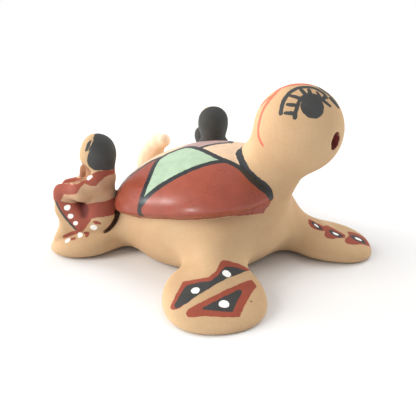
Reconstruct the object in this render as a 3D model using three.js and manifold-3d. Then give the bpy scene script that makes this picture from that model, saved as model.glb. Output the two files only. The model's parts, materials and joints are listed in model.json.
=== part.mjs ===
// Turtle storyteller: a hand-modelled, fired clay turtle that raises its head to sing, with three
// children seated on its back flippers. It is one fired piece that stands on a flat underside.
// Millimetres and degrees. The turtle looks along +X, its left side is +Y and up is +Z. The origin
// is on the standing surface, under the middle of the body.
import * as THREE from 'three';
import { mergeVertices } from 'three/addons/utils/BufferGeometryUtils.js';
import Module from 'manifold-3d';

const wasm = await Module();
wasm.setup();

// Body: a fat pebble that swells out between the flippers
const BODY_LENGTH = 90.4;
const BODY_WIDTH = 84;
const BODY_DEPTH = 53.8;
const BODY_BEHIND = 4.7;
const BODY_HEIGHT = 18.2;
const BODY_TILT = 8.9;
const BODY_EDGE_POWER = 2.3;

// Shell: a dome on a shallow underside, whose rim stands proud of the body, higher at the neck than
// at the tail. The middle of its rim is placed from the middle of the body.
const SHELL_LENGTH = 93.2;
const SHELL_WIDTH = 81.6;
const SHELL_DOME_HEIGHT = 25.5;
const SHELL_UNDERSIDE_DEPTH = 9;
const SHELL_AHEAD = 0.8;
const SHELL_SIDE = -3.5;
const SHELL_RISE = 13.6;
const SHELL_TURN = 7;
const SHELL_TILT = 11.1;
const SHELL_PLAN_POWER = 2.7;
const SHELL_EDGE_POWER = 1.83;

// Neck and head: the neck climbs out of the front of the shell to a round head
const NECK_AHEAD = 26.5;
const NECK_RISE = 18;
const NECK_LENGTH = 40.8;
const NECK_CLIMB = 54.8;
const NECK_TURN = 8.5;
const NECK_ROOT_RADIUS = 18.8;
const NECK_TOP_RADIUS = 12.8;
const NECK_TOP_SHARE = 0.85;
const HEAD_RADIUS = 19.7;

// Mouth: a blind oval hole, open as in song, placed by its turn from the neck and its climb
const MOUTH_WIDTH = 5.4;
const MOUTH_HEIGHT = 7.6;
const MOUTH_DEPTH = 5.5;
const MOUTH_TURN = -12.5;
const MOUTH_CLIMB = -6.5;

// Tail: a small horn drawn up out of the back of the body, clear of the shell, that bends forward
const TAIL_BEHIND = 45.8;
const TAIL_RISE = -0.2;
const TAIL_UPRIGHT = 21;
const TAIL_BEND = 14;
const TAIL_TURN = 80;
const TAIL_ROOT_RADIUS = 9;
const TAIL_TIP_RADIUS = 3.7;

// Flippers: an arm that leaves the body and a flat paddle. In shares of the body's length: root is
// where the arm leaves and place the middle of the paddle, both in plan, then the paddle's length,
// width and depth. heading is the way it points, slope its fall to the tip and plan its squareness.
const ARM_ROOT_HEIGHT = 20.5;
const ARM_ROOT_RADIUS = 15.8;
const ARM_END_RADIUS = 7.2;
const ARM_END_HEIGHT = 8.2;
const ARM_END_SHARE = 0.75;
const PADDLE_HEIGHT = 3.5;
const PADDLE_EDGE_POWER = 2.4;
const FLIPPERS = {
  frontRight: {
    root: [0.18, -0.18], place: [0.445, -0.507], size: [0.53, 0.49, 0.145],
    heading: -39, slope: 14.5, plan: 2.1,
  },
  frontLeft: {
    root: [0.17, 0.13], place: [0.503, 0.446], size: [0.515, 0.475, 0.162],
    heading: 35, slope: 11, plan: 2.5,
  },
  backRight: {
    root: [-0.29, -0.18], place: [-0.574, -0.5], size: [0.475, 0.427, 0.17],
    heading: -144.5, slope: 14, plan: 2.1,
  },
  backLeft: {
    root: [-0.29, 0.18], place: [-0.574, 0.5], size: [0.475, 0.427, 0.17],
    heading: 144.5, slope: 14, plan: 2.1,
  },
};

// Fillets where clay is drawn out of clay
const FLIPPER_FILLET = 10;
const ARM_FILLET = 10;
const NECK_FILLET = 8;
const HEAD_FILLET = 6;
const TAIL_FILLET = 5;

// Children: each looks out along the flipper it sits on, but for a turn. back and side place it from
// the middle of that flipper's paddle, and seat is its base's height above the standing surface, in
// shares of the body's length.
const RIGHT_CHILD_HEIGHT = 50.5;
const LEFT_CHILD_HEIGHT = 54.5;
const BABY_HEIGHT = 31;
const CHILDREN = [
  {
    height: RIGHT_CHILD_HEIGHT, raisedArm: true,
    on: 'backRight', back: 0.155, side: 0.03, seat: 0.118, turn: -3.5,
  },
  {
    height: LEFT_CHILD_HEIGHT, raisedArm: false,
    on: 'backLeft', back: 0.155, side: -0.05, seat: 0.118, turn: -5,
  },
  {
    height: BABY_HEIGHT, raisedArm: false,
    on: 'backLeft', back: -0.033, side: -0.011, seat: 0.221, turn: -5,
  },
];

// A child's build, in shares of its height: x is forward, y to its left and z up from its seat.
// A limb with a pair is made on both sides.
const CHILD_HEAD = { centre: [0.09, 0, 0.835], radii: [0.166, 0.17, 0.184], climb: 22, power: 2.4 };
const CHILD_LIMBS = [
  { part: 'nape', from: [0.04, 0, 0.8], to: [0.07, 0, 0.6], radii: [0.13, 0.13] },
  { part: 'trunk', from: [0.08, 0, 0.6], to: [0.1, 0, 0.2], radii: [0.13, 0.18] },
  { part: 'seat', from: [0.12, 0, 0.08], to: [0.42, 0, -0.06], radii: [0.17, 0.16] },
  { part: 'thigh', pair: true, from: [0.2, 0.08, 0.1], to: [0.46, 0.08, 0.36], radii: [0.1, 0.085] },
  { part: 'shin', pair: true, from: [0.48, 0.08, 0.36], to: [0.44, 0.08, 0.1], radii: [0.08, 0.085] },
  { part: 'foot', pair: true, from: [0.43, 0.08, 0.04], to: [0.54, 0.08, -0.11], radii: [0.1, 0.08] },
  { part: 'calf', pair: true, from: [0.3, 0.08, 0.06], to: [0.47, 0.08, 0.24], radii: [0.1, 0.09] },
  { part: 'upper arm', pair: true, from: [0.06, 0.1, 0.56], to: [0.22, 0.15, 0.47], radii: [0.1, 0.1] },
  { part: 'forearm', pair: true, from: [0.22, 0.15, 0.47], to: [0.48, 0.09, 0.44], radii: [0.1, 0.07] },
];
const CHILD_RAISED_ARM = { from: [0.29, -0.12, 0.48], to: [0.26, -0.07, 0.63], radii: [0.075, 0.064] };
const CHILD_FILLET_SHARE = 0.05;
const CHILD_BOX_SHARES = [[-0.4, -0.5, -0.4], [0.9, 0.5, 1.2]];

// Facets: the mesh of the net over the turtle and over a child
const TURTLE_MESH = 4.8;
const CHILD_MESH = 2.9;
const TAIL_STEPS = 4;
const TAIL_STEP_FILLET = 1;
const NET_MARGIN_SHARE = 0.1;
const SETTLE_ROUNDS = 6;
const SHELL_FACETS = 36;
const MOUTH_FACETS = 20;

const { degToRad, lerp, clamp } = THREE.MathUtils;
const vector = (x, y, z) => new THREE.Vector3(x, y, z);

/** Frame at an origin, with its x axis turned from +X to a heading and then raised by a climb. */
function frameAt(origin, heading, climb = 0) {
  const turn = new THREE.Euler(0, -degToRad(climb), degToRad(heading), 'ZYX');
  return new THREE.Matrix4().makeRotationFromEuler(turn).setPosition(origin);
}

/** How far out a point lies in a pebble of unit radii: 1 is its surface. */
function pebbleSize(x, y, z, planPower, edgePower) {
  const plan = (Math.abs(x) ** planPower + Math.abs(y) ** planPower) ** (1 / planPower);
  return (plan ** edgePower + Math.abs(z) ** edgePower) ** (1 / edgePower);
}

/** Distance field of a pebble: an ellipsoid whose plan and edge are squared off by two powers. */
function pebble(frame, [a, b, c], planPower = 2, edgePower = 2) {
  const inverse = frame.clone().invert();
  const step = 1e-3;
  return (p) => {
    const q = p.clone().applyMatrix4(inverse);
    const size = (x, y, z) => pebbleSize(x / a, y / b, z / c, planPower, edgePower);
    const here = size(q.x, q.y, q.z);
    const slope = Math.hypot(
      size(q.x + step, q.y, q.z) - here,
      size(q.x, q.y + step, q.z) - here,
      size(q.x, q.y, q.z + step) - here,
    );
    return (here - 1) * step / Math.max(slope, 1e-9);
  };
}

/** Distance field of a limb: clay drawn out from a ball at one point to a ball at another. */
function limb(from, to, [fromRadius, toRadius]) {
  const along = to.clone().sub(from);
  return (p) => {
    const share = clamp(p.clone().sub(from).dot(along) / along.lengthSq(), 0, 1);
    return from.clone().addScaledVector(along, share).distanceTo(p) - lerp(fromRadius, toRadius, share);
  };
}

/** Distance field of two fields joined, with the join filled by a fillet. */
function join(first, second, fillet) {
  return (p) => {
    const a = first(p);
    const b = second(p);
    const near = Math.max(fillet - Math.abs(a - b), 0);
    return Math.min(a, b) - near * near / (4 * fillet);
  };
}

/** Gradient of a field at a point. */
function slopeOf(field, p, step) {
  const rise = (axis) => {
    const ahead = p.clone().setComponent(axis, p.getComponent(axis) + step);
    const behind = p.clone().setComponent(axis, p.getComponent(axis) - step);
    return (field(ahead) - field(behind)) / (2 * step);
  };
  return vector(rise(0), rise(1), rise(2));
}

/** Places and inside flags of a grid of corners over a box, and the fields that read them. */
function gridOver(field, box, mesh) {
  const counts = box.getSize(vector()).divideScalar(mesh).ceil().addScalar(1).toArray();
  const index = ([i, j, k]) => (k * counts[1] + j) * counts[0] + i;
  const place = (corner) => vector(...corner).multiplyScalar(mesh).add(box.min);
  const corners = [];
  for (let k = 0; k < counts[2]; k++) {
    for (let j = 0; j < counts[1]; j++) {
      for (let i = 0; i < counts[0]; i++) corners.push([i, j, k]);
    }
  }
  const values = corners.map((corner) => field(place(corner)));
  const cells = corners.filter((corner) => corner.every((v, n) => v < counts[n] - 1));
  return { cells, place, value: (corner) => values[index(corner)], index };
}

// Corners of a cell's six faces, each in turn round the face as it is seen from outside the cell
const CELL_FACES = [
  [[0, 0, 0], [0, 0, 1], [0, 1, 1], [0, 1, 0]],
  [[0, 0, 0], [1, 0, 0], [1, 0, 1], [0, 0, 1]],
  [[0, 0, 0], [0, 1, 0], [1, 1, 0], [1, 0, 0]],
  [[1, 0, 0], [1, 1, 0], [1, 1, 1], [1, 0, 1]],
  [[0, 1, 0], [0, 1, 1], [1, 1, 1], [1, 1, 0]],
  [[0, 0, 1], [1, 0, 1], [1, 1, 1], [0, 1, 1]],
];

/**
 * Closed net of triangles over the surface where a field is 0. Its points lie where the surface
 * crosses the edges of a grid, and each cell adds the loops that the surface draws on its faces.
 */
function netOver(field, box, mesh) {
  const { cells, place, value, index } = gridOver(field, box, mesh);
  const points = [];
  const known = new Map();
  const pointBetween = (a, b) => {
    const key = [index(a), index(b)].sort((m, n) => m - n).join();
    if (!known.has(key)) {
      const share = clamp(value(a) / (value(a) - value(b)), NET_MARGIN_SHARE, 1 - NET_MARGIN_SHARE);
      known.set(key, points.push(place(a).lerp(place(b), share)) - 1);
    }
    return known.get(key);
  };
  const faces = [];
  for (const cell of cells) {
    const next = new Map();
    for (const face of CELL_FACES) {
      const round = face.map((corner) => corner.map((v, n) => v + cell[n]));
      const inside = round.map((corner) => value(corner) < 0);
      for (let n = 0; n < 4; n++) {
        if (!inside[n] || inside[(n + 3) % 4]) continue;
        let last = n;
        while (inside[(last + 1) % 4]) last = (last + 1) % 4;
        const leaves = pointBetween(round[last], round[(last + 1) % 4]);
        next.set(pointBetween(round[(n + 3) % 4], round[n]), leaves);
      }
    }
    while (next.size > 0) {
      const loop = [next.keys().next().value];
      while (next.has(loop.at(-1))) {
        const from = loop.at(-1);
        loop.push(next.get(from));
        next.delete(from);
      }
      for (let n = 1; n < loop.length - 2; n++) faces.push(loop[0], loop[n], loop[n + 1]);
    }
  }
  settle(points, faces, field, mesh);
  const geometry = new THREE.BufferGeometry().setFromPoints(points);
  geometry.setIndex(faces);
  return geometry;
}

/** Evens out a net's points and draws each one back onto the surface. */
function settle(points, faces, field, mesh) {
  const neighbours = points.map(() => new Set());
  for (let n = 0; n < faces.length; n += 3) {
    const [a, b, c] = faces.slice(n, n + 3);
    neighbours[a].add(b).add(c);
    neighbours[b].add(c).add(a);
    neighbours[c].add(a).add(b);
  }
  for (let round = 0; round < SETTLE_ROUNDS; round++) {
    const middles = neighbours.map((around) => {
      const sum = [...around].reduce((total, n) => total.add(points[n]), vector());
      return sum.divideScalar(around.size);
    });
    points.forEach((point, n) => {
      point.lerp(middles[n], 0.5);
      const slope = slopeOf(field, point, mesh / 50);
      point.addScaledVector(slope, -field(point) / Math.max(slope.lengthSq(), 0.25));
    });
  }
}

/** Closed solid of a geometry, ready to be cut and joined. */
function solidOf(geometry) {
  const bare = geometry.clone();
  bare.deleteAttribute('normal');
  bare.deleteAttribute('uv');
  const merged = mergeVertices(bare, 1e-4);
  return new wasm.Manifold(new wasm.Mesh({
    numProp: 3,
    vertProperties: merged.attributes.position.array,
    triVerts: new Uint32Array(merged.index.array),
  }));
}

/** Geometry of a finished solid. */
function geometryOf(solid) {
  const { vertProperties, triVerts } = solid.getMesh();
  const geometry = new THREE.BufferGeometry();
  geometry.setAttribute('position', new THREE.Float32BufferAttribute(vertProperties, 3));
  geometry.setIndex([...triVerts]);
  return geometry;
}

const bodyMiddle = vector(-BODY_BEHIND, 0, BODY_HEIGHT);
const shellMiddle = bodyMiddle.clone().add(vector(SHELL_AHEAD, SHELL_SIDE, SHELL_RISE));
const neckRoot = bodyMiddle.clone().add(vector(NECK_AHEAD, 0, NECK_RISE));
const neckFrame = frameAt(neckRoot, NECK_TURN, NECK_CLIMB);
const headMiddle = vector(NECK_LENGTH, 0, 0).applyMatrix4(neckFrame);

/** Point over the standing surface, placed in plan by shares of the body's length. */
const inPlan = ([x, y], height) => vector(x * BODY_LENGTH, y * BODY_LENGTH, height);

function flipperField({ root, place, size, heading, slope, plan }) {
  const start = inPlan(root, ARM_ROOT_HEIGHT);
  const end = start.clone().lerp(inPlan(place, 0), ARM_END_SHARE).setZ(ARM_END_HEIGHT);
  const frame = frameAt(inPlan(place, PADDLE_HEIGHT), heading, -slope);
  const paddle = pebble(frame, size.map((share) => share * BODY_LENGTH / 2), plan, PADDLE_EDGE_POWER);
  return join(paddle, limb(start, end, [ARM_ROOT_RADIUS, ARM_END_RADIUS]), ARM_FILLET);
}

function neckField() {
  const top = neckRoot.clone().lerp(headMiddle, NECK_TOP_SHARE);
  const neck = limb(neckRoot, top, [NECK_ROOT_RADIUS, NECK_TOP_RADIUS]);
  return join(neck, (p) => p.distanceTo(headMiddle) - HEAD_RADIUS, HEAD_FILLET);
}

function tailField() {
  const root = bodyMiddle.clone().add(vector(-TAIL_BEHIND, 0, TAIL_RISE));
  const places = [root];
  for (let n = 0; n <= TAIL_STEPS; n++) {
    const turned = degToRad(TAIL_TURN * n / TAIL_STEPS);
    const rise = TAIL_UPRIGHT + TAIL_BEND * Math.sin(turned);
    places.push(root.clone().add(vector(TAIL_BEND * (1 - Math.cos(turned)), 0, rise)));
  }
  const radii = places.map((_, n) => lerp(TAIL_ROOT_RADIUS, TAIL_TIP_RADIUS, n / (places.length - 1)));
  let field = limb(places[0], places[1], radii);
  for (let n = 1; n < places.length - 1; n++) {
    field = join(field, limb(places[n], places[n + 1], radii.slice(n)), TAIL_STEP_FILLET);
  }
  return field;
}

/** The turtle without its shell, drawn down past the standing surface, where it is cut later. */
function turtleField() {
  const radii = [BODY_LENGTH / 2, BODY_WIDTH / 2, BODY_DEPTH / 2];
  let field = pebble(frameAt(bodyMiddle, 0, BODY_TILT), radii, 2, BODY_EDGE_POWER);
  for (const flipper of Object.values(FLIPPERS)) field = join(field, flipperField(flipper), FLIPPER_FILLET);
  field = join(field, neckField(), NECK_FILLET);
  return join(field, tailField(), TAIL_FILLET);
}

/** A child of height 1, seated at the origin and looking along +X. */
function childField(raisedArm) {
  const { centre, radii, climb, power } = CHILD_HEAD;
  let field = pebble(frameAt(vector(...centre), 0, climb), radii, 2, power);
  for (const { pair, from, to, radii: ends } of CHILD_LIMBS) {
    for (const side of pair ? [-1, 1] : [1]) {
      const [start, stop] = [from, to].map(([x, y, z]) => vector(x, side * y, z));
      field = join(field, limb(start, stop, ends), CHILD_FILLET_SHARE);
    }
  }
  if (!raisedArm) return field;
  const { from, to, radii: ends } = CHILD_RAISED_ARM;
  return join(field, limb(vector(...from), vector(...to), ends), CHILD_FILLET_SHARE);
}

function turtleSolid() {
  const reach = BODY_LENGTH;
  const top = headMiddle.z + 1.5 * HEAD_RADIUS;
  const box = new THREE.Box3(vector(-reach, -reach, -BODY_DEPTH / 2), vector(reach, reach, top));
  return solidOf(netOver(turtleField(), box, TURTLE_MESH));
}

function shellSolid() {
  const geometry = new THREE.SphereGeometry(1, SHELL_FACETS, SHELL_FACETS / 2).rotateX(Math.PI / 2);
  const points = geometry.attributes.position;
  for (let n = 0; n < points.count; n++) {
    const p = vector().fromBufferAttribute(points, n);
    const depth = p.z > 0 ? SHELL_DOME_HEIGHT : SHELL_UNDERSIDE_DEPTH;
    p.divideScalar(pebbleSize(p.x, p.y, p.z, SHELL_PLAN_POWER, SHELL_EDGE_POWER));
    points.setXYZ(n, p.x * SHELL_LENGTH / 2, p.y * SHELL_WIDTH / 2, p.z * depth);
  }
  return solidOf(geometry.applyMatrix4(frameAt(shellMiddle, SHELL_TURN, SHELL_TILT)));
}

function childSolid({ on, back, side, seat, height, turn, raisedArm }) {
  const box = new THREE.Box3(...CHILD_BOX_SHARES.map((corner) => vector(...corner)));
  const { place, heading } = FLIPPERS[on];
  const base = vector(-back, side, seat).multiplyScalar(BODY_LENGTH);
  base.applyMatrix4(frameAt(inPlan(place, 0), heading));
  const frame = frameAt(base, heading + turn).scale(vector(height, height, height));
  return solidOf(netOver(childField(raisedArm), box, CHILD_MESH / height).applyMatrix4(frame));
}

/** Oval plug that leaves the mouth as a blind hole in the front of the head. */
function mouthPlug() {
  const heading = NECK_TURN + MOUTH_TURN;
  const frame = frameAt(headMiddle, heading, MOUTH_CLIMB);
  const geometry = new THREE.SphereGeometry(1, MOUTH_FACETS, MOUTH_FACETS / 2);
  geometry.scale(MOUTH_DEPTH, MOUTH_WIDTH / 2, MOUTH_HEIGHT / 2).translate(HEAD_RADIUS, 0, 0);
  return solidOf(geometry.applyMatrix4(frame));
}

/** Everything below the standing surface. */
function groundBlock() {
  const side = 4 * BODY_LENGTH;
  return solidOf(new THREE.BoxGeometry(side, side, BODY_DEPTH).translate(0, 0, -BODY_DEPTH / 2));
}

let clay = turtleSolid().add(shellSolid());
for (const child of CHILDREN) clay = clay.add(childSolid(child));
clay = clay.subtract(mouthPlug()).subtract(groundBlock());

const firedClay = new THREE.MeshStandardMaterial({ color: 0xe1b987, roughness: 0.75, metalness: 0 });
const storyteller = new THREE.Mesh(geometryOf(clay), firedClay);
storyteller.name = 'turtle_storyteller';

const group = new THREE.Group();
group.add(storyteller);

export default group;
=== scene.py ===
import json
import math

import bpy
import numpy as np
from mathutils import Matrix, Vector

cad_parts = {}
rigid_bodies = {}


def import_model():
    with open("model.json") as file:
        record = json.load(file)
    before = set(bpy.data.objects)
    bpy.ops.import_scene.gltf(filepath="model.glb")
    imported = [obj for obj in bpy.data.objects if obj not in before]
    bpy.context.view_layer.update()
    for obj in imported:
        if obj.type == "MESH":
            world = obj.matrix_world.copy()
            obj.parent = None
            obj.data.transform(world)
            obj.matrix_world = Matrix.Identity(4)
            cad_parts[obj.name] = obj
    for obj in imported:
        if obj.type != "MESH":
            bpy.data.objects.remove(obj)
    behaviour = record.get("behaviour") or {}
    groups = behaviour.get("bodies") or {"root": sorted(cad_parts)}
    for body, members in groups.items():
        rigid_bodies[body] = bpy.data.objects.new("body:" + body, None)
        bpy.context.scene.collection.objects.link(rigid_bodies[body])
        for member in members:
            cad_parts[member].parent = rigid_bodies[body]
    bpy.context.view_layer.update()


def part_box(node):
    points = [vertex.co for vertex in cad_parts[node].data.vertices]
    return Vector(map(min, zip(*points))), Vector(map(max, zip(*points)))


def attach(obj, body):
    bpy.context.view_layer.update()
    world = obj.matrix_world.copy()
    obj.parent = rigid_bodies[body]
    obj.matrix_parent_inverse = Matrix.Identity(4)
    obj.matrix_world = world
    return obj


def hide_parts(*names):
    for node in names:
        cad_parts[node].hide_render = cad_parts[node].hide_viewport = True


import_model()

# The looks of the turtle storyteller: one fine skin over the clay, the slips and some painted shade on
# it, and the studio. Millimetres and degrees until the mesh is written; the frame itself is in metres.
# The turtle looks along +X, its left side is +Y and up is +Z.
NODE = "turtle_storyteller"
MM = 0.001
SKIN_MESH = 1.2
EVEN_ROUNDS = 3
FINE_ROUNDS = 3
FINEST_EDGE = 0.3
BORDER_REACH = 0.9
BORDER_NEARNESS = 0.55
BORDER_ERROR = 0.06
FAR = 9.0
PAINT_MARGIN = 3.0

# Forms of the clay
BODY = dict(length=90.4, width=84.0, depth=53.8, behind=4.7, height=18.2, tilt=8.9, power=2.3)
SHELL = dict(length=93.2, width=81.6, dome=25.5, underside=9.0, ahead=0.8, side=-3.5, rise=13.6, turn=7.0,
             tilt=11.1, plan=2.7, edge=1.83)
NECK = dict(ahead=26.5, rise=18.0, length=40.8, climb=54.8, turn=8.5, root=18.8, top=12.8, top_at=0.85)
HEAD_RADIUS = 19.7
MOUTH = dict(width=5.4, height=7.6, depth=5.5, turn=-12.5, climb=-6.5)
TAIL = dict(behind=45.8, rise=-0.2, upright=21.0, bend=14.0, turn=80.0, root=9.0, tip=3.7, steps=4)
ARM = dict(root_height=20.5, root=15.8, end=7.2, end_height=8.2, end_at=0.75)
PADDLE_HEIGHT = 3.5
PADDLE_POWER = 2.4
FLIPPERS = {
    "front_right": dict(root=(0.18, -0.18), place=(0.445, -0.507), size=(0.53, 0.49, 0.145),
                        heading=-39, slope=14.5, plan=2.1),
    "front_left": dict(root=(0.17, 0.13), place=(0.503, 0.446), size=(0.515, 0.475, 0.162),
                       heading=35, slope=11, plan=2.5),
    "back_right": dict(root=(-0.29, -0.18), place=(-0.574, -0.5), size=(0.475, 0.427, 0.17),
                       heading=-144.5, slope=14, plan=2.1),
    "back_left": dict(root=(-0.29, 0.18), place=(-0.574, 0.5), size=(0.475, 0.427, 0.17),
                      heading=144.5, slope=14, plan=2.1),
}
FILLET = dict(flipper=10.0, arm=10.0, neck=8.0, head=6.0, tail=5.0, tail_step=1.0,
              shell=1.0, child=0.7, mouth=0.8, foot=4.0, crevice=0.6)
CHILDREN = [
    dict(on="back_right", back=0.155, side=0.03, seat=0.118, height=50.5, turn=-3.5, raised=True, hair=69),
    dict(on="back_left", back=0.155, side=-0.05, seat=0.118, height=54.5, turn=-5, raised=False, hair=60),
    dict(on="back_left", back=-0.033, side=-0.011, seat=0.221, height=31.0, turn=-5, raised=False, hair=66),
]
CHILD_HEAD = dict(centre=(0.09, 0, 0.835), radii=(0.166, 0.17, 0.184), climb=22, power=2.4)
CHILD_LIMBS = [
    (False, (0.04, 0, 0.8), (0.07, 0, 0.6), (0.13, 0.13)),
    (False, (0.08, 0, 0.6), (0.1, 0, 0.2), (0.13, 0.18)),
    (False, (0.12, 0, 0.08), (0.42, 0, -0.06), (0.17, 0.16)),
    (True, (0.2, 0.08, 0.1), (0.46, 0.08, 0.36), (0.1, 0.085)),
    (True, (0.48, 0.08, 0.36), (0.44, 0.08, 0.1), (0.08, 0.085)),
    (True, (0.43, 0.08, 0.04), (0.54, 0.08, -0.11), (0.1, 0.08)),
    (True, (0.3, 0.08, 0.06), (0.47, 0.08, 0.24), (0.1, 0.09)),
    (True, (0.06, 0.1, 0.56), (0.22, 0.15, 0.47), (0.1, 0.1)),
    (True, (0.22, 0.15, 0.47), (0.48, 0.09, 0.44), (0.1, 0.07)),
]
CHILD_RAISED_ARM = ((0.29, -0.12, 0.48), (0.26, -0.07, 0.63), (0.075, 0.064))
CHILD_FILLET = 0.05
CHILD_MIDDLE = np.array([0.2, 0, 0.45])
CHILD_REACH = 0.75
CHILD_MARGIN = 0.1
CHILD_FIELD_SHARE = 0.9

# The narrow gap between the near child's seat and the flank, from its top down
CREVICE = [(-35.3, -37.7, 22.3), (-35.1, -37.6, 20.5), (-34.6, -39.2, 18.3), (-34.9, -41.1, 15.9),
           (-35.3, -43.5, 13.8), (-35.7, -45.8, 12.7)]
CREVICE_MIDDLE = np.array(CREVICE[2])
CREVICE_WAY = np.array([-0.64, 0.68, -0.34])
CREVICE_ENDS = (1.7, 0.6)
CREVICE_DEPTHS = (0.0, 1.5)
CREVICE_REACH = 14


def frame_at(origin, heading, climb=0.0):
    """An origin and axes: x turned from +X to a heading and raised by a climb."""
    a, b = math.radians(heading), math.radians(climb)
    ahead = np.array([math.cos(a) * math.cos(b), math.sin(a) * math.cos(b), math.sin(b)])
    left = np.array([-math.sin(a), math.cos(a), 0.0])
    return np.asarray(origin, float), np.stack([ahead, left, np.cross(ahead, left)], 1)


def to_local(p, place):
    return (p - place[0]) @ place[1]


def to_world(q, place):
    return place[0] + np.asarray(q, float) @ place[1].T


def pebble(p, place, radii, plan=2.0, edge=2.0):
    """Distance field of an ellipsoid whose plan and edge are squared off by two powers."""
    a, b, c = radii
    x, y, z = (np.abs(to_local(p, place)) + 1e-6).T
    x, y, z = x / a, y / b, z / c
    r = (x ** plan + y ** plan) ** (1 / plan)
    f = (r ** edge + z ** edge) ** (1 / edge)
    lift = f ** (1 - edge)
    spread = lift * r ** (edge - plan)
    slope = np.sqrt((spread * x ** (plan - 1) / a) ** 2 + (spread * y ** (plan - 1) / b) ** 2
                    + (lift * z ** (edge - 1) / c) ** 2)
    return (f - 1) / np.maximum(slope, 1e-9)


def limb(p, start, stop, radii):
    """Distance field of clay drawn out from a ball at one point to a ball at another."""
    start, stop = np.asarray(start, float), np.asarray(stop, float)
    along = stop - start
    share = np.clip((p - start) @ along / (along @ along), 0, 1)
    return np.linalg.norm(p - start - share[:, None] * along, axis=1) - (
        radii[0] + share * (radii[1] - radii[0]))


def join(a, b, fillet):
    near = np.maximum(fillet - np.abs(a - b), 0)
    return np.minimum(a, b) - near * near / (4 * fillet)


def carve(a, b, fillet):
    """Field a with field b taken away, its new edge rounded off."""
    return -join(-a, b, fillet)


def paddle_frame(name):
    f = FLIPPERS[name]
    x, y = f["place"]
    return frame_at((x * BODY["length"], y * BODY["length"], PADDLE_HEIGHT), f["heading"], -f["slope"])


BODY_MIDDLE = np.array([-BODY["behind"], 0, BODY["height"]])
SHELL_MIDDLE = BODY_MIDDLE + np.array([SHELL["ahead"], SHELL["side"], SHELL["rise"]])
SHELL_FRAME = frame_at(SHELL_MIDDLE, SHELL["turn"], SHELL["tilt"])
NECK_ROOT = BODY_MIDDLE + np.array([NECK["ahead"], 0, NECK["rise"]])
HEAD_MIDDLE = to_world((NECK["length"], 0, 0), frame_at(NECK_ROOT, NECK["turn"], NECK["climb"]))


def flipper_field(p, name):
    f = FLIPPERS[name]
    root = np.array([*f["root"], 0]) * BODY["length"] + np.array([0, 0, ARM["root_height"]])
    place = np.array([*f["place"], 0]) * BODY["length"]
    end = root + ARM["end_at"] * (place - root)
    end[2] = ARM["end_height"]
    pad = pebble(p, paddle_frame(name), np.array(f["size"]) * BODY["length"] / 2, f["plan"], PADDLE_POWER)
    return join(pad, limb(p, root, end, (ARM["root"], ARM["end"])), FILLET["arm"])


def neck_field(p):
    top = NECK_ROOT + NECK["top_at"] * (HEAD_MIDDLE - NECK_ROOT)
    neck = limb(p, NECK_ROOT, top, (NECK["root"], NECK["top"]))
    return join(neck, np.linalg.norm(p - HEAD_MIDDLE, axis=1) - HEAD_RADIUS, FILLET["head"])


def tail_field(p):
    base = BODY_MIDDLE + np.array([-TAIL["behind"], 0, TAIL["rise"]])
    turns = [math.radians(TAIL["turn"] * n / TAIL["steps"]) for n in range(TAIL["steps"] + 1)]
    places = [base] + [
        base + np.array([TAIL["bend"] * (1 - math.cos(a)), 0, TAIL["upright"] + TAIL["bend"] * math.sin(a)])
        for a in turns]
    radii = np.linspace(TAIL["root"], TAIL["tip"], len(places))
    field = limb(p, places[0], places[1], radii[:2])
    for n in range(1, len(places) - 1):
        field = join(field, limb(p, places[n], places[n + 1], radii[n:n + 2]), FILLET["tail_step"])
    return field


def turtle_field(p):
    radii = np.array([BODY["length"], BODY["width"], BODY["depth"]]) / 2
    field = pebble(p, frame_at(BODY_MIDDLE, 0, BODY["tilt"]), radii, 2, BODY["power"])
    for name in FLIPPERS:
        field = join(field, flipper_field(p, name), FILLET["flipper"])
    field = join(field, neck_field(p), FILLET["neck"])
    return join(field, tail_field(p), FILLET["tail"])


def shell_radii(z):
    """The shell's half length, half width and depth, above and below the plane of its rim."""
    return SHELL["length"] / 2, SHELL["width"] / 2, np.where(z > 0, SHELL["dome"], SHELL["underside"])


def shell_field(p):
    return pebble(p, SHELL_FRAME, shell_radii(to_local(p, SHELL_FRAME)[:, 2]), SHELL["plan"], SHELL["edge"])


def child_frame(child):
    f = FLIPPERS[child["on"]]
    origin, axes = frame_at((*f["place"], 0), f["heading"])
    seat = (origin + axes @ np.array([-child["back"], child["side"], child["seat"]])) * BODY["length"]
    return frame_at(seat, f["heading"] + child["turn"])


def child_form(q, raised):
    """Field of a child of height 1, seated at the origin and looking along +X."""
    head = frame_at(CHILD_HEAD["centre"], 0, CHILD_HEAD["climb"])
    field = pebble(q, head, CHILD_HEAD["radii"], 2, CHILD_HEAD["power"])
    for pair, start, stop, radii in CHILD_LIMBS:
        for side in (-1, 1) if pair else (1,):
            turned = np.array([1, side, 1])
            field = join(field, limb(q, start * turned, stop * turned, radii), CHILD_FILLET)
    return join(field, limb(q, *CHILD_RAISED_ARM), CHILD_FILLET) if raised else field


def child_field(p, child):
    """Field of one child. Far off the child, that of a ball round it."""
    q = to_local(p, child_frame(child)) / child["height"]
    ball = np.linalg.norm(q - CHILD_MIDDLE, axis=1) - CHILD_REACH
    field = np.maximum(ball, CHILD_MARGIN / 2)
    near = ball < CHILD_MARGIN
    field[near] = child_form(q[near], child["raised"])
    return field * child["height"] * CHILD_FIELD_SHARE


def crevice_field(p):
    """The gap between the near child's seat and the flank: two grooves, one behind the other."""
    field = np.full(len(p), FAR)
    near = np.flatnonzero(np.linalg.norm(p - CREVICE_MIDDLE, axis=1) < CREVICE_REACH)
    radii = np.linspace(*CREVICE_ENDS, len(CREVICE))
    for depth in CREVICE_DEPTHS:
        path = [np.array(place) + CREVICE_WAY * depth * r for place, r in zip(CREVICE, radii)]
        for n in range(len(path) - 1):
            field[near] = np.minimum(field[near], limb(p[near], path[n], path[n + 1], radii[n:n + 2]))
    return field


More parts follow.
